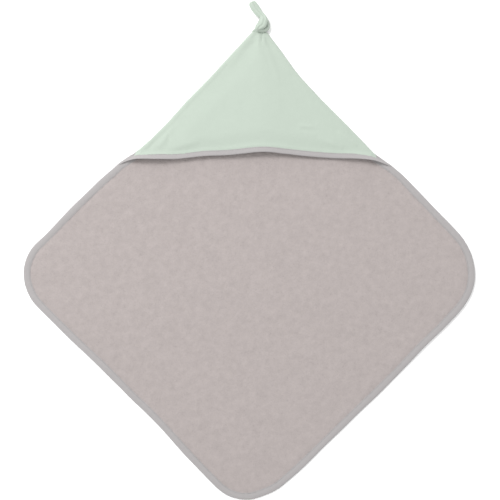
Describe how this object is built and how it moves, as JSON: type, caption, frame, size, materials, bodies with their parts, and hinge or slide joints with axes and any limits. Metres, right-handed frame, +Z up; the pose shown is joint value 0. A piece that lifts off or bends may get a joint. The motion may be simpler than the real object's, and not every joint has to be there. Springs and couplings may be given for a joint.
{
  "type": "hooded baby towel",
  "caption": "Square terry baby towel with a muslin hood sewn over its top corner, taped edges and a knotted tie at the hood's tip, lying flat and open.",
  "frame": {"origin": "centre of the terry square, on the underside that lies on the table", "axes": "+Z up off the table, +Y towards the hooded corner and its knot, +X to the right when the hood points away"},
  "size_m": [1.0337, 1.1405, 0.0264],
  "materials": {
    "terry": "looped cotton terry, warm grey",
    "tape": "plain woven cotton bias tape, light grey",
    "muslin": "soft double gauze, pale mint",
    "thread": "polyester sewing thread, grey"
  },
  "bodies": {
    "towel": {"terry_panel": "terry", "perimeter_binding": "tape", "perimeter_thread": "thread", "left_seam_thread": "thread", "right_seam_thread": "thread"},
    "hood_front": {"hood_panel": "muslin", "hood_edge_binding": "tape", "hood_edge_thread": "thread"},
    "knot": {"tip_tie": "muslin"}
  },
  "joints": [
    {"name": "hood_open", "type": "hinge", "parent": "towel", "child": "hood_front", "pos_m": [0.021, 0.549, 0.006], "axis": [-1, 0, 0], "range_deg": [0, 18]},
    {"name": "knot_flop", "type": "hinge", "parent": "towel", "child": "knot", "pos_m": [0.021, 0.549, 0.012], "axis": [1, 0, 0], "range_deg": [0, 105]}
  ]
}
